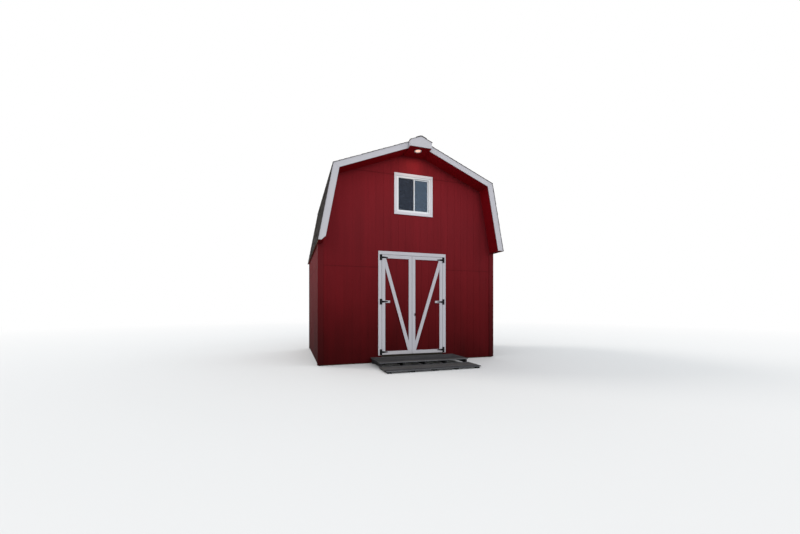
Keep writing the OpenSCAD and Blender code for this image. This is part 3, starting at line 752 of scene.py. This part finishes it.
class Slope:
    """One slope of the roof: points at s metres up it and d metres out of it."""

    def __init__(self, foot, head, side):
        run = Vector((side * (head.x - foot.x), 0, head.y - foot.y))
        self.length = run.length
        self.up = run.normalized()
        self.out = Vector((side * self.up.z, 0, -side * self.up.x))
        self.foot = Vector((side * foot.x, 0, foot.y))

    def at(self, s, d, y):
        return self.foot + self.up * s + self.out * d + Vector((0, y, 0))

    def plate(self, shape, s, s_end, d, d_end, y, y_end, thickness):
        """A flat plate whose upper face runs from height d at s to d_end at s_end."""
        start = self.at(s, d, y)
        u = self.at(s_end, d_end, y) - start
        w = u.normalized().cross(Vector((0, 1, 0)))
        if w.dot(self.out) > 0:
            w = -w
        return slab(shape, start, u, (0, y_end - y, 0), w * thickness)


def slopes(side):
    """The lower and the upper slope of the roof, at the left for -1 and at the right for 1."""
    eave, head, foot, ridge = roof_corners()
    return Slope(eave, head, side), Slope(foot, ridge, side)


class BARN_OT_lay_shingles(bpy.types.Operator):
    """Lay the laminated shingles in courses, with caps along the ridge"""

    bl_idname = "barn.lay_shingles"
    bl_label = "Lay shingles"

    # Lap of the courses, height of the felt, gap between strips and gap round a field of shingles
    lap = 0.02
    felt = 0.0006
    joint = 0.0015
    clear = 0.001
    # Chance lengths along a course, the narrowest tab that is laid, and the slant of a ridge cap
    strip_lengths = (0.9, 1.0)
    tab_widths = (0.10, 0.24)
    tab_gaps = (0.05, 0.15)
    narrowest = 0.03
    cap_fall = 0.0028

    def course(self, shape, slope, s, s_end, y, y_end, start, order, last):
        """One course from s to s_end: a strip in lengths of about a metre, and tabs of chance width on it."""
        size = sizes()
        fall = (size.butt - size.head) / (s_end - s)
        top = s_end if last else s_end + self.lap
        s_low = max(s, start)

        def height(at):
            return size.butt - fall * (at - s)

        def lay(a, b, sunk):
            verts = slope.plate(shape, s_low, top, height(s_low) - sunk, height(top) - sunk, a, b, size.ply)
            tone(shape, faces_of(verts), order.random())

        a = y
        while a < y_end:
            b = a + order.uniform(*self.strip_lengths) * (1.0 if a > y else order.uniform(0.3, 1.0))
            lay(a, min(b, y_end), size.ply)
            a = b + self.joint
        a = y - order.uniform(0.0, self.tab_gaps[1])
        while a < y_end:
            b = a + order.uniform(*self.tab_widths)
            if min(b, y_end) - max(a, y) > self.narrowest:
                lay(max(a, y), min(b, y_end), 0.0)
            a = b + order.uniform(*self.tab_gaps)

    def cover(self, shape, slope, y, y_end, start, stop, order):
        """All courses of a slope from y to y_end, above start and up to stop under its head."""
        size = sizes()
        s, s_last = -size.overhang, slope.length - stop
        count = round((s_last - s) / size.exposure)
        step = (s_last - s) / count
        for i in range(count):
            if s + (i + 1) * step > start:
                self.course(shape, slope, s + i * step, s + (i + 1) * step, y, y_end, start, order,
                            i == count - 1)
        felt = slope.plate(shape, max(start, 0), s_last, self.felt, self.felt, y, y_end, self.felt * 0.8)
        tone(shape, faces_of(felt), 0)
        if start < 0:
            starter = slope.plate(shape, s, s + step, size.ply, size.ply, y, y_end, size.ply - 0.0004)
            tone(shape, faces_of(starter), 0.2)

    def execute(self, context):
        size = sizes()
        order = random.Random(size.seed)
        low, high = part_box("shingles")
        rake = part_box("front_rake_boards")[0].y - size.overhang
        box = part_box("peak_box")[1].x
        material = granules("shingle_granules", colours().shingle)
        shape = toned_shape()
        for side in (-1, 1):
            lower, upper = slopes(side)
            self.cover(shape, lower, rake, high.y, -1, size.butt / 2, order)
            self.cover(shape, upper, rake, high.y, -1, self.clear, order)
            over_box = (abs(upper.foot.x) - box - size.overhang) / abs(upper.up.x)
            self.cover(shape, upper, low.y, rake - self.clear, over_box, self.clear, order)
        piece("shingle_courses", shape, material, ["shingles"])
        self.cap_ridge(material, order)
        return {"FINISHED"}

    def cap_ridge(self, material, order):
        """Caps bent over the ridge, the back of each under the front of the next."""
        size = sizes()
        low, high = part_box("ridge_cap")
        left, right = slopes(-1)[1], slopes(1)[1]
        flat = abs(right.up.x)
        reach, top = high.x / flat, (high.z - roof_corners()[3].y) * flat
        step = (high.y - low.y) / round((high.y - low.y) / size.exposure)
        shape = toned_shape()
        y = low.y
        while y < high.y - self.lap / 2:
            end = min(y + step + self.lap, high.y)
            grey = order.random()
            for slope in (left, right):
                v = Vector((0, end - y, 0)) - slope.out * (self.cap_fall * (end - y) / step)
                verts = slab(shape, slope.at(slope.length - reach, top, y), slope.up * reach, v,
                             -slope.out * size.ply)
                tone(shape, faces_of(verts), grey)
            y += step
        piece("ridge_shingles", shape, material, ["ridge_cap"])


class BARN_OT_lay_landing(bpy.types.Operator):
    """Lay the weathered planks of the landing and its step, with their screws"""

    bl_idname = "barn.lay_landing"
    bl_label = "Lay landing"

    # Cuts along a plank, chance loss at its ends, wear of its face, sides and edges, and its screws
    cuts = 22
    short = 0.009
    worn_face = 0.0032
    worn_side = 0.0022
    worn_edge = 0.0035
    screws = 5
    screw_inset = 0.035
    screw_rise = 0.0022

    def plank(self, shape, low, high, order):
        """One plank with uneven ends and a worn, slightly wavy face, inside its stock size, its front face
        paler with painted light and its back face dark with painted shade.
        """
        low, high = low.copy(), high.copy()
        low.x += order.uniform(0.0, self.short)
        high.x -= order.uniform(0.0, self.short)
        part = toned_shape()
        board(part, low, high)
        long = [e for e in part.edges if abs(e.verts[0].co.x - e.verts[1].co.x) > 1]
        bmesh.ops.subdivide_edges(part, edges=long, cuts=self.cuts)
        shift = order.uniform(0, 50)
        middle = (low + high) / 2
        for vert in part.verts:
            wave = 0.5 + 0.5 * noise.noise(Vector((vert.co.x * 2.3 + shift, vert.co.y * 9, shift)))
            side = 0.5 + 0.5 * noise.noise(Vector((vert.co.x * 3.1, shift, vert.co.z * 5)))
            if vert.co.z > middle.z:
                vert.co.z -= self.worn_face * wave
            vert.co.y += (self.worn_side if vert.co.y < middle.y else -self.worn_side) * side
        ease(part, self.worn_edge)
        part.normal_update()
        own = order.uniform(0.12, 0.62)
        tone(part, part.faces, own)
        # Front faces paler: painted light; back faces towards the gaps dark: painted shade
        tone(part, [face for face in part.faces if face.normal.y < -0.4], own * 0.4 + 0.72)
        tone(part, [face for face in part.faces if face.normal.y > 0.4], 0)
        join(shape, part)

    def execute(self, context):
        order = random.Random(sizes().seed + 1)
        planks = solids("landing_boards")
        shape = toned_shape()
        for low, high in planks:
            self.plank(shape, low, high, order)
        material = weathered_planks("weathered_planks", colours().plank)
        piece("landing_planks", shape, material, ["landing_boards"])
        self.drive_screws(planks, order)
        # The landing's frame in a near black copy of the planks' grey: painted shade under the deck
        dress(["landing_frame"], bare_wood("frame_wood_painted_shade", shade(colours().plank, 0.3), "y"))
        return {"FINISHED"}

    def drive_screws(self, planks, order):
        """Pairs of screws at even steps along each plank."""
        frame_low, frame_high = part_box("landing_frame")
        deck = max(high.z for low, high in planks)
        shape = bmesh.new()
        for low, high in planks:
            inset = 0.019 if high.z > deck - 0.001 else 0.0445
            first, last = frame_low.x + inset, frame_high.x - inset
            for i in range(self.screws):
                x = first + (last - first) * i / (self.screws - 1)
                for y in (low.y + self.screw_inset, high.y - self.screw_inset):
                    spot = (x + order.uniform(-0.004, 0.004), y + order.uniform(-0.005, 0.005),
                            high.z - self.worn_face)
                    disc(shape, spot, UP, sizes().screw, self.screw_rise, sides=10)
        piece("landing_screws", shape, iron())


class BARN_OT_hang_hardware(bpy.types.Operator):
    """Coat the hinges and the handle black and drive their screws"""

    bl_idname = "barn.hang_hardware"
    bl_label = "Hang hardware"

    # Width of a hinge barrel, thickness of the iron, height of a head, and what is too short for a strap
    barrel = 0.016
    thick = 0.004
    head_rise = 0.002
    shortest_strap = 0.12

    def face(self, low, high):
        """The front face of a plate or strap that runs behind its barrel."""
        return (low.y + high.y) / 2 + self.barrel / 2 - self.thick

    def execute(self, context):
        dress(["hinge_plates", "left_door_hardware", "right_door_hardware"], iron())
        bolt, half = sizes().bolt, self.barrel / 2
        shape = bmesh.new()
        for low, high in solids("hinge_plates"):
            sign = 1 if low.x < 0 else -1
            wide = high.x - low.x - self.barrel - 0.001
            middle = low.x + wide / 2 if sign > 0 else high.x - wide / 2
            for share, shift in ((0.12, 0.0), (0.5, 0.009), (0.88, 0.0)):
                spot = (middle + shift * sign, self.face(low, high), low.z + (high.z - low.z) * share)
                disc(shape, spot, FRONT, bolt, self.head_rise)
            pin = high.x - half if sign > 0 else low.x + half
            for end, turn in ((high.z, 1), (low.z, -1)):
                disc(shape, (pin, (low.y + high.y) / 2, end), (0, 0, turn), 0.0052, 0.0024)
        piece("casing_screws", shape, iron())

        for side, sign in (("left_door", 1), ("right_door", -1)):
            shape = bmesh.new()
            for low, high in solids(side + "_hardware"):
                if high.x - low.x < self.shortest_strap:
                    continue
                pin = low.x + half if sign > 0 else high.x - half
                tip = high.x - low.x - half
                for reach, lift in ((0.034, 0.012), (0.034, -0.012), (tip * 0.54, 0.0), (tip - 0.016, 0.0)):
                    spot = (pin + sign * reach, self.face(low, high), (low.z + high.z) / 2 + lift)
                    disc(shape, spot, FRONT, bolt * 0.85, self.head_rise)
            if side == "right_door":
                self.handle_screws(shape)
            piece(side + "_screws", shape, iron(), body=side)
        return {"FINISHED"}

    def handle_screws(self, shape):
        """Two screws in the plate behind the pull."""
        inset = 0.009
        for low, high in solids("right_door_hardware"):
            if high.x - low.x < self.shortest_strap:
                for z in (low.z + inset, high.z - inset):
                    spot = ((low.x + high.x) / 2 + inset, high.y - self.thick, z)
                    disc(shape, spot, FRONT, sizes().bolt * 0.7, 0.0018)


class Nails:
    """Nail heads that stand a little out of the paint, not quite on their lines."""

    # How far a head reaches under the paint and out of it
    sunk = 0.001
    proud = 0.0008

    def __init__(self, order):
        self.shape = bmesh.new()
        self.order = order

    def drive(self, spot, normal):
        size, normal = sizes(), Vector(normal)
        sway = Vector(self.order.uniform(-size.nail_sway, size.nail_sway) for axis in range(3))
        spot = Vector(spot) + sway - normal * sway.dot(normal)
        disc(self.shape, spot - normal * self.sunk, normal, size.nail, self.sunk + self.proud, sides=8,
             tip=0.8)


class BARN_OT_drive_nails(bpy.types.Operator):
    """Drive the nails of the siding, the corner boards, the casing and the rake boards"""

    bl_idname = "barn.drive_nails"
    bl_label = "Drive nails"

    # Heights of the two rows of nails of a rake board, from the face of the roof sheets
    rake_rows = (-0.035, -0.105)

    def execute(self, context):
        order = random.Random(sizes().seed + 2)
        nails = Nails(order)
        self.siding(nails)
        # Siding nail heads darker than the siding: rust and painted shade of their dimples
        rust_and_painted_shade = smooth_paint("red_nail_paint_rust_and_painted_shade", shade(colours().siding, 0.5))
        piece("siding_nails", nails.shape, rust_and_painted_shade)
        nails = Nails(order)
        self.casing(nails)
        self.rakes(nails)
        # Trim nail heads darker than the trim: rust and painted shade of their dimples
        rust_and_painted_shade = trim_paint("white_nail_paint_rust_and_painted_shade", shade(colours().trim, 0.7))
        piece("trim_nails", nails.shape, rust_and_painted_shade)
        return {"FINISHED"}

    def siding(self, nails):
        """Rows of nails in the middle of every second strip between the grooves."""
        size = sizes()
        lower, upper = slopes(1)
        low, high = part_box("side_siding")
        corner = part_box("corner_boards")[1]
        keep_out = [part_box(node) for node in ("door_casing", "window_trim", "landing_boards")]
        for i in range(int((CAD_HIGH.z - low.z) / size.nail_rise)):
            z = low.z + size.nail_edge + i * size.nail_rise
            under_eave = z < lower.foot.z - size.nail_edge
            at = size.groove / 2
            while at < high.x:
                depth = max((Vector((at, 0, z)) - slope.foot).dot(slope.out) for slope in (lower, upper))
                for x in (-at, at):
                    if depth > -size.nail_roof or at > corner.x - size.corner:
                        continue
                    nails.drive((x, high.y, z), BACK)
                    if not any(a.x < x < b.x and a.z < z < b.z for a, b in keep_out):
                        nails.drive((x, -high.y, z), FRONT)
                if under_eave and at < corner.y - size.corner:
                    for x in (-high.x, high.x):
                        for y in (-at, at):
                            nails.drive((x, y, z), (math.copysign(1, x), 0, 0))
                at += size.groove * 2
            if under_eave:
                self.corner(nails, corner, z)

    def corner(self, nails, corner, z):
        """Two nails side by side in each face of each corner board."""
        size = sizes()
        for inset in (size.nail_edge / 2, size.corner - size.nail_edge / 2):
            for x in (-1, 1):
                for y in (-1, 1):
                    nails.drive((x * (corner.x - inset), y * corner.y, z), (0, y, 0))
                    nails.drive((x * corner.x, y * (corner.y - inset), z), (x, 0, 0))

    def casing(self, nails):
        """Pairs of nails in the boards round the doorway and the window."""
        size = sizes()
        for node in ("door_casing", "window_trim"):
            for low, high in solids(node):
                wide, tall = high.x - low.x, high.z - low.z
                length = max(wide, tall)
                count = max(2, round(length / size.nail_rise))
                for i in range(count):
                    run = size.nail_edge / 2 + (length - size.nail_edge) * i / (count - 1)
                    for share in (0.25, 0.75):
                        beside, above = (run, tall * share) if wide > tall else (wide * share, run)
                        nails.drive((low.x + beside, low.y, low.z + above), FRONT)

    def rakes(self, nails):
        """Pairs of nails along the rake boards of both gables."""
        size = sizes()
        front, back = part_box("front_rake_boards")[0].y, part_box("rear_rake_boards")[1].y
        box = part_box("peak_box")[1].x
        for side in (-1, 1):
            for slope in slopes(side):
                count = round(slope.length / size.nail_rise)
                for i in range(count):
                    s = size.nail_edge + (slope.length - 2 * size.nail_edge) * i / (count - 1)
                    for d in self.rake_rows:
                        spot = slope.at(s, d, 0)
                        if abs(spot.x) > box + size.nail_edge / 2:
                            nails.drive((spot.x, front, spot.z), FRONT)
                        nails.drive((spot.x, back, spot.z), BACK)


class BARN_OT_glaze_window(bpy.types.Operator):
    """Fit the loft window with its frame, glass and half screen"""

    bl_idname = "barn.glaze_window"
    bl_label = "Glaze window"

    # Rounding of the window's and the screen's frame, gap round the screen, width of its frame, its cloth
    edge = 0.002
    screen_edge = 0.001
    gap = 0.001
    member = 0.014
    cloth = 0.0005

    def execute(self, context):
        paint = colours()
        white = vinyl("window_vinyl_film", paint.vinyl)
        eased("slider_frame", "window_frame", self.edge, white)
        dress(["window_glass"], window_pane("pane_glass", paint.glass))

        frames = solids("window_frame")
        ring = max(frames, key=lambda box: box[1].x - box[0].x)
        frames.remove(ring)
        # The sash that is furthest to the front, and the left one if two are level
        sash_low, sash_high = min(frames, key=lambda box: box[0].y + box[1].x * 0.01)
        low = Vector((sash_low.x + self.gap, ring[0].y + self.edge, sash_low.z + self.gap))
        high = Vector((sash_high.x - self.gap, sash_low.y - self.gap, sash_high.z - self.gap))
        member = self.member
        shape = bmesh.new()
        board(shape, low, (low.x + member, high.y, high.z))
        board(shape, (high.x - member, low.y, low.z), high)
        for z in (low.z, high.z - member):
            board(shape, (low.x + member, low.y, z), (high.x - member, high.y, z + member))
        ease(shape, self.screen_edge)
        piece("screen_frame", shape, white)

        shape = bmesh.new()
        middle = (low.y + high.y) / 2
        board(shape, (low.x + member / 2, middle, low.z + member / 2),
              (high.x - member / 2, middle + self.cloth, high.z - member / 2))
        piece("insect_screen", shape, screen_cloth("screen_weave", paint.screen))
        return {"FINISHED"}


class BARN_OT_fit_lamp(bpy.types.Operator):
    """Fit the lamp in the soffit of the peak, with a glowing lens"""

    bl_idname = "barn.fit_lamp"
    bl_label = "Fit lamp"

    # The lens: its radius, bulge, the height of its rim in the ring, the steps of its arc and turn, its light
    radius = 0.066
    rise = 0.006
    rim = 0.0105
    steps = 5
    segments = 48
    glow = 0.95

    def execute(self, context):
        low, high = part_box("peak_light")
        centre = (low + high) / 2
        dress(["peak_light"], vinyl("lamp_ring", colours().vinyl))
        shape = bmesh.new()
        angles = [math.pi / 2 * i / self.steps for i in range(self.steps + 1)]
        verts = [shape.verts.new((centre.x + self.radius * math.sin(a), centre.y,
                                  low.z + self.rim - self.rise * math.cos(a))) for a in angles]
        edges = [shape.edges.new(pair) for pair in zip(verts, verts[1:])]
        bmesh.ops.spin(shape, geom=verts + edges, cent=(centre.x, centre.y, 0), axis=UP,
                       angle=2 * math.pi, steps=self.segments, use_merge=True)
        bmesh.ops.remove_doubles(shape, verts=shape.verts, dist=MERGE)
        bmesh.ops.recalc_face_normals(shape, faces=shape.faces)
        bmesh.ops.holes_fill(shape, edges=shape.edges)
        bmesh.ops.recalc_face_normals(shape, faces=shape.faces)
        for face in shape.faces:
            face.smooth = len(face.verts) < 5
        piece("lamp_lens", shape, lit_lens("lamp_glow", colours().lamp, self.glow))
        self.beam((centre.x, centre.y, low.z - 0.004))
        return {"FINISHED"}

    def beam(self, place):
        """The lamp's own light, which falls on the wall and the window under it."""
        bulb = bpy.data.lights.new("lamp_beam", "AREA")
        bulb.shape = "DISK"
        bulb.size = 0.12
        bulb.energy = 2.5
        bulb.color = (1.0, 0.72, 0.5)
        linked("lamp_beam", bulb).location = place


class BARN_OT_set_stage(bpy.types.Operator):
    """Set the floor, the lights and the camera"""

    bl_idname = "barn.set_stage"
    bl_label = "Set stage"

    def execute(self, context):
        scene = context.scene
        scene.view_settings.view_transform = "Standard"
        self.floor()
        self.sky(scene)
        self.sun("soft_key", 1.15, 20, azimuth=-124, elevation=33, colour=(1.0, 0.95, 0.90))
        self.sun("soft_fill", 1.12, 26, azimuth=8, elevation=4, colour=(1.0, 0.98, 0.97))
        lens = bpy.data.cameras.new("camera")
        lens.lens = 14.98
        lens.sensor_width = 36
        lens.shift_y = 0.0514
        lens.clip_end = 400
        camera = linked("camera", lens)
        camera.location = (-3.101, -10.132, 1.406)
        camera.rotation_euler = (math.radians(90), 0, math.radians(-18.29))
        scene.camera = camera
        return {"FINISHED"}

    def floor(self):
        """A pale floor that keeps the barn's shadow and turns as white as the background far off."""
        radius, under, far = 120, 0.0005, 30
        shape = bmesh.new()
        bmesh.ops.create_circle(shape, cap_ends=True, segments=96, radius=radius,
                                matrix=Matrix.Translation((0, 0, -under)))
        mesh = mesh_of("floor", shape)
        floor = linked("floor", mesh)
        made = Finish("pale_floor", 0.9, specular_ior_level=0.0)
        path = made.add("ShaderNodeLightPath")
        made.colour(made.mix(path.outputs["Is Camera Ray"], (0.28, 0.28, 0.27), (0.62, 0.62, 0.61)))
        glow = made.add("ShaderNodeEmission")
        length = made.add("ShaderNodeVectorMath", operation="LENGTH")
        made.feed(made.place, length.inputs[0])
        fade = made.ramp(made.math("DIVIDE", length.outputs["Value"], far), (0.22, 0.0), (0.9, 1.0))
        seen = made.math("MULTIPLY", fade, path.outputs["Is Camera Ray"])
        self.blend(made.tree, seen, made.shader, glow, "Material Output")
        mesh.materials.append(made.material)

    def sky(self, scene):
        """An even sky. The camera, glass and gloss see it as white."""
        world = bpy.data.worlds.new("even_sky")
        scene.world = world
        world.use_nodes = True
        tree = world.node_tree
        light = tree.nodes["Background"]
        set_inputs(light, color=(0.93, 0.96, 1.0, 1), strength=1.3)
        white = tree.nodes.new("ShaderNodeBackground")
        set_inputs(white, color=(1, 1, 1, 1), strength=1.0)
        path = tree.nodes.new("ShaderNodeLightPath")
        seen = path.outputs["Is Camera Ray"]
        for name in ("Is Glossy Ray", "Is Transmission Ray"):
            either = tree.nodes.new("ShaderNodeMath")
            either.operation = "MAXIMUM"
            tree.links.new(seen, either.inputs[0])
            tree.links.new(path.outputs[name], either.inputs[1])
            seen = either.outputs[0]
        self.blend(tree, seen, light, white, "World Output")

    def blend(self, tree, share, first, second, end):
        """Mixes two shaders and feeds them to the end of a tree."""
        mixer = tree.nodes.new("ShaderNodeMixShader")
        for source, socket in zip((share, first.outputs[0], second.outputs[0]), mixer.inputs):
            tree.links.new(source, socket)
        tree.links.new(mixer.outputs[0], tree.nodes[end].inputs["Surface"])

    def sun(self, name, strength, softness, azimuth, elevation, colour):
        """A wide soft sun that no glass reflects. Azimuth is the side that it shines from."""
        lamp = bpy.data.lights.new(name, "SUN")
        lamp.energy = strength
        lamp.angle = math.radians(softness)
        lamp.color = colour
        made = linked(name, lamp)
        a, e = math.radians(azimuth), math.radians(elevation)
        source = Vector((math.sin(a) * math.cos(e), -math.cos(a) * math.cos(e), math.sin(e)))
        made.rotation_euler = source.to_track_quat("Z", "Y").to_euler()
        made.visible_glossy = False


STEPS = (
    BARN_OT_set_stage, BARN_OT_paint_siding, BARN_OT_ease_trim, BARN_OT_board_doors,
    BARN_OT_finish_framing, BARN_OT_lay_shingles, BARN_OT_lay_landing, BARN_OT_hang_hardware,
    BARN_OT_drive_nails, BARN_OT_glaze_window, BARN_OT_fit_lamp,
)


class BARN_PT_sidebar(bpy.types.Panel):
    """Lists the barn's pieces, sizes and colours"""

    bl_idname = "BARN_PT_sidebar"
    bl_label = "Barn"
    bl_space_type = "VIEW_3D"
    bl_region_type = "UI"
    bl_category = "Barn"

    def draw(self, context):
        for step in STEPS:
            self.layout.operator(step.bl_idname)
        for group in (context.scene.barn_sizes, context.scene.barn_colours):
            for name in group.__annotations__:
                self.layout.prop(group, name)


CLASSES = (BarnSizes, BarnColours, *STEPS, BARN_PT_sidebar)


def register():
    for item in CLASSES:
        bpy.utils.register_class(item)
    bpy.types.Scene.barn_sizes = PointerProperty(type=BarnSizes)
    bpy.types.Scene.barn_colours = PointerProperty(type=BarnColours)


def unregister():
    del bpy.types.Scene.barn_colours
    del bpy.types.Scene.barn_sizes
    for item in reversed(CLASSES):
        bpy.utils.unregister_class(item)


def main():
    register()
    for step in STEPS:
        group, name = step.bl_idname.split(".")
        getattr(getattr(bpy.ops, group), name)()


if __name__ == "__main__":
    main()
